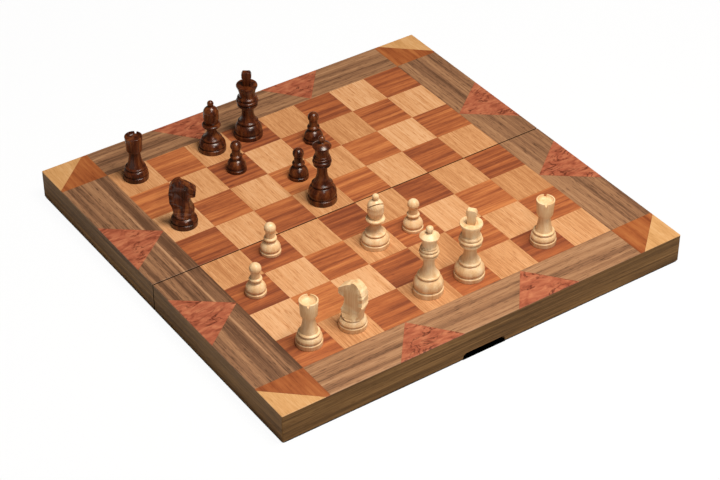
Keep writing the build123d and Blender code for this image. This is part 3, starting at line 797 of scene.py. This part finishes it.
def set_up_men():
    for body, (place, shift, turn) in MEN.items():
        colour, kind = body.split("_")[:2]
        slot = f"{colour}_man_wood"
        for ending, make in MAKERS[kind].items():
            cad_node = body + ending
            thing = make(f"{cad_node}_shape", materials[slot])
            stand(thing, place, shift, turn)
            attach(thing, body)
            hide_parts(cad_node)
        disc = baize_disc(f"{body}_baize", BASES[kind])
        stand(disc, place, shift, turn)
        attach(disc, body)


# ------------------------------------------------------------------ hinge screws
LARGEST_FLOAT = 3  # Random Value's input of that meaning; its kinds share one name


def screws_tree(screw):
    """Puts a screw at each point, its slot turned by a fixed random angle."""
    tree = bpy.data.node_groups.new("Screws", "GeometryNodeTree")
    face = tree.interface
    face.new_socket("Places", in_out="INPUT", socket_type="NodeSocketGeometry")
    face.new_socket("Seed", in_out="INPUT", socket_type="NodeSocketInt")
    face.new_socket("Brass", in_out="INPUT", socket_type="NodeSocketMaterial")
    face.new_socket("Screws", in_out="OUTPUT", socket_type="NodeSocketGeometry")
    given = node(tree, "NodeGroupInput").outputs
    shape = node(tree, "GeometryNodeObjectInfo", {"Object": screw})
    angle = node(tree, "FunctionNodeRandomValue", {
        LARGEST_FLOAT: math.pi, "Seed": given["Seed"]}, data_type="FLOAT")
    turn = node(tree, "ShaderNodeCombineXYZ", {"Z": angle.outputs[1]})
    spread = node(tree, "GeometryNodeInstanceOnPoints", {
        "Points": given["Places"], "Instance": shape.outputs["Geometry"], "Rotation": turn.outputs[0]})
    real = node(tree, "GeometryNodeRealizeInstances", {"Geometry": spread.outputs[0]})
    painted = node(tree, "GeometryNodeSetMaterial", {"Geometry": real.outputs[0], "Material": given["Brass"]})
    node(tree, "NodeGroupOutput", {"Screws": painted.outputs[0]})
    return tree


def set_up_screws():
    brass = materials["screw_brass"]
    outline = [(SCREW_HEAD, 0), (SCREW_SHANK, LEAF_THICKNESS)]
    outline += [(SCREW_SHANK, SCREW_LENGTH - SCREW_SHANK), (0, SCREW_LENGTH)]
    screw = turned("screw", outline, brass)
    half, deep = SCREW_SLOT_WIDTH / 2, SCREW_SLOT_DEPTH
    slot = [(-half, -deep), (half, -deep), (half, deep), (-half, deep)]
    cut(screw, prism(slot, FRONT_VIEW, (-2 * SCREW_HEAD, 2 * SCREW_HEAD)))
    tree = screws_tree(screw)
    for half, side, seed in (("near", -1, 3), ("far", 1, 8)):
        places = [Vector((hand * HINGE_FROM_MIDDLE + dx, side * SCREW_ROW, RIM)) * MM
                  for hand in (-1, 1) for dx in (-SCREW_SPACING / 2, SCREW_SPACING / 2)]
        mesh = bpy.data.meshes.new(f"{half}_screws")
        mesh.from_pydata(places, [], [])
        thing = placed(f"{half}_slotted_screws", mesh, brass)
        maker = thing.modifiers.new("screws", "NODES")
        maker.node_group = tree
        set_inputs(maker, Seed=seed, Brass=brass)
        baked(thing)
        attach(thing, f"{half}_half")
        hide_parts(f"{half}_hinge_screws")
    bpy.data.objects.remove(screw)


# ------------------------------------------------------------------ floor, light, camera
FLOOR_HALF_WIDTH = 6.0
FLOOR_SEEN_THROUGH = 0.95
DARK_REACH, DARK_BELOW, DARK_BELOW_NOTCH = 60 * MM, 0.4, 0.8


def in_notch(tree):
    """1 on the floor of the finger notch, 0 beside it."""
    apart = node(tree, "ShaderNodeSeparateXYZ", {"Vector": object_place(tree)}).outputs
    across = within(tree, apart[0], NOTCH_FROM_MIDDLE, NOTCH_WIDTH / 2)
    inwards = within(tree, apart[1], NOTCH_DEPTH / 2 - HALF_DEPTH, NOTCH_DEPTH / 2)
    return node(tree, "ShaderNodeMath", {0: across, 1: inwards}, operation="MULTIPLY").outputs[0]


def floor_material():
    """White paper that shows from above only. It lets most of the white room through to
    the camera, but is black to it where the case shuts out the light."""
    made, tree, paper = blank("white_paper_floor", 0.9)
    paper.inputs["Base Color"].default_value = linear("#F4F4F4")
    paper.inputs["Specular IOR Level"].default_value = 0.0
    clear = node(tree, "ShaderNodeBsdfTransparent").outputs[0]
    black = node(tree, "ShaderNodeBsdfDiffuse", {"Color": linear("#000000")}).outputs[0]
    path = node(tree, "ShaderNodeLightPath")
    seen = node(tree, "ShaderNodeMath", {
        0: path.outputs["Is Camera Ray"], 1: FLOOR_SEEN_THROUGH}, operation="MULTIPLY")
    paper_seen = node(tree, "ShaderNodeMixShader", {0: seen.outputs[0], 1: paper.outputs[0], 2: clear})
    openness = node(tree, "ShaderNodeAmbientOcclusion", {"Distance": DARK_REACH})
    limit = node(tree, "ShaderNodeMapRange", {
        "Value": in_notch(tree), "To Min": DARK_BELOW, "To Max": DARK_BELOW_NOTCH})
    shut_in = node(tree, "ShaderNodeMath", {
        0: openness.outputs["AO"], 1: limit.outputs[0]}, operation="LESS_THAN")
    dark = node(tree, "ShaderNodeMath", {
        0: shut_in.outputs[0], 1: path.outputs["Is Camera Ray"]}, operation="MULTIPLY")
    from_above = node(tree, "ShaderNodeMixShader", {0: dark.outputs[0], 1: paper_seen.outputs[0], 2: black})
    below = node(tree, "ShaderNodeNewGeometry").outputs["Backfacing"]
    surface = node(tree, "ShaderNodeMixShader", {0: below, 1: from_above.outputs[0], 2: clear})
    tree.links.new(surface.outputs[0], tree.nodes["Material Output"].inputs["Surface"])
    return made


def set_up_floor():
    work = bmesh.new()
    bmesh.ops.create_grid(work, x_segments=1, y_segments=1, size=FLOOR_HALF_WIDTH)
    mesh = bpy.data.meshes.new("floor")
    work.to_mesh(mesh)
    work.free()
    placed("floor", mesh, floor_material())


def direction(azimuth, elevation):
    """Unit vector from the board towards a place, by its angles in radians from -Y and above the floor."""
    flat = math.cos(elevation)
    return Vector((math.sin(azimuth) * flat, -math.cos(azimuth) * flat, math.sin(elevation)))


def lamp(name, azimuth, elevation, distance, size, brightness, colour):
    """Square softbox aimed at the board, its distance and size in metres. Azimuth is counted in
    degrees from the photograph's viewpoint to its right; brightness is that of white paper that
    faces the lamp."""
    light = bpy.data.lights.new(name, "AREA")
    light.size = size
    light.energy = brightness * (math.pi * distance) ** 2
    light.color = linear(colour)[:3]
    towards = direction(CAMERA_AZIMUTH + math.radians(azimuth), math.radians(elevation))
    thing = bpy.data.objects.new(name, light)
    thing.location = towards * distance
    thing.rotation_euler = towards.to_track_quat("Z", "Y").to_euler()
    bpy.context.scene.collection.objects.link(thing)


ROOM_LIGHT = 0.1
ROOM_TINT = (1.0, 0.86, 0.7)


def set_up_light():
    world = bpy.data.worlds.new("white_room")
    bpy.context.scene.world = world
    world.use_nodes = True
    tree = world.node_tree
    path = node(tree, "ShaderNodeLightPath")
    room = tree.nodes["Background"]
    glow = [ROOM_LIGHT * part for part in ROOM_TINT] + [1.0]
    seen = node(tree, "ShaderNodeMixRGB", {0: path.outputs["Is Camera Ray"], 1: glow, 2: (1, 1, 1, 1)})
    tree.links.new(seen.outputs[0], room.inputs["Color"])
    lamp("top_softbox", azimuth=54, elevation=74, distance=1.3, size=0.5, brightness=1.19, colour="#FFF8EC")
    lamp("front_lamp", azimuth=16, elevation=46, distance=1.7, size=0.09, brightness=0.12, colour="#FFFFFF")


def set_up_camera():
    lens = bpy.data.cameras.new("camera")
    lens.sensor_width = SENSOR_WIDTH
    lens.lens = FOCAL_PIXELS / PHOTO_WIDTH * SENSOR_WIDTH
    lens.clip_start, lens.clip_end = 0.05, 50
    eye = bpy.data.objects.new("camera", lens)
    back = direction(CAMERA_AZIMUTH, CAMERA_ELEVATION)
    eye.location = (Vector(CAMERA_TARGET) + back * CAMERA_DISTANCE) * MM
    eye.rotation_euler = (-back).to_track_quat("-Z", "Y").to_euler()
    bpy.context.scene.collection.objects.link(eye)
    bpy.context.scene.camera = eye


bpy.context.scene.view_settings.view_transform = "Standard"
set_up_camera()
dress_frame()
set_up_men()
set_up_screws()
set_up_floor()
set_up_light()
